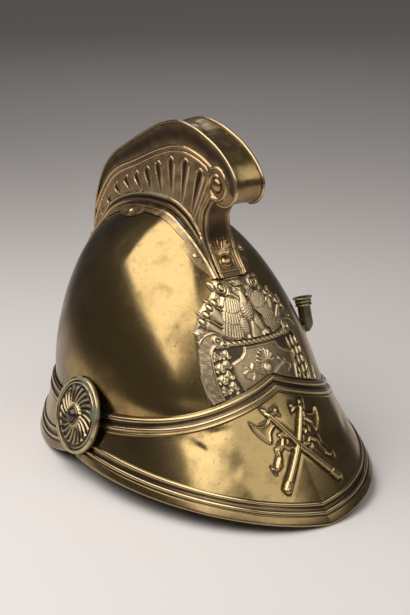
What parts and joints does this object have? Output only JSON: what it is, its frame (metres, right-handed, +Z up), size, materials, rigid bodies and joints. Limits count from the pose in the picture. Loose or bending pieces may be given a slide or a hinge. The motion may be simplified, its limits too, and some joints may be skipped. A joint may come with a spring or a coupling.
{
  "type": "fire helmet",
  "caption": "Crested brass fire helmet with a pointed peak, flared neck guard, side rosettes, stamped front plate, plume socket and laced leather liner.",
  "frame": {"origin": "middle of the box, on the surface that the helmet stands on", "axes": "+Z up; the face looks along -Y, and the wearer's right side is -X"},
  "size_m": [0.2252, 0.3411, 0.2682],
  "materials": {
    "raised_brass": "polished brass with an olive-brown age tone, fine scratches and small dents",
    "crest_brass": "pressed brass with dark purple-brown tarnish and bright raised edges",
    "crest_band_brass": "rolled brass, dented, with worn bright edges",
    "chased_brass": "stamped brass relief, bright on top and dark in the hollows",
    "peak_brass": "polished golden brass with small dents",
    "guard_brass": "polished brass with an age tone",
    "trim_brass": "folded brass strip, worn bright on its edge",
    "rosette_brass": "pressed brass with dark flutes and a bright rim",
    "dark_boss": "brass boss, nearly black with age",
    "rivet_brass": "brass rivets and studs, rubbed bright",
    "iron_nuts": "dull dark iron",
    "socket_patina": "brass with green verdigris",
    "liner_leather": "worn brown leather",
    "waxed_lace": "dark waxed lace"
  },
  "bodies": {
    "root": {"skull_shell": "raised_brass", "crest_side_right": "crest_brass", "crest_side_left": "crest_brass", "crest_top_band": "crest_band_brass", "crest_front_mask": "crest_brass", "crest_rivets": "rivet_brass", "front_plate": "chased_brass", "front_plate_studs": "rivet_brass", "front_plate_nuts": "iron_nuts", "peak": "peak_brass", "peak_edge_binding": "trim_brass", "peak_emblem": "peak_brass", "peak_rivets": "rivet_brass", "neck_guard": "guard_brass", "neck_guard_edge_binding": "trim_brass", "neck_guard_rivets": "rivet_brass", "rosette_right": "rosette_brass", "rosette_left": "rosette_brass", "rosette_boss_right": "dark_boss", "rosette_boss_left": "dark_boss", "rosette_studs": "rivet_brass", "rosette_washers": "iron_nuts", "rosette_nuts": "iron_nuts", "plume_socket_tube": "socket_patina", "plume_socket_collar": "socket_patina", "plume_socket_bracket": "socket_patina", "plume_socket_rivets": "rivet_brass", "liner_sweatband": "liner_leather", "liner_crown": "liner_leather", "liner_lace": "waxed_lace", "liner_rivets": "rivet_brass"}
  },
  "joints": []
}
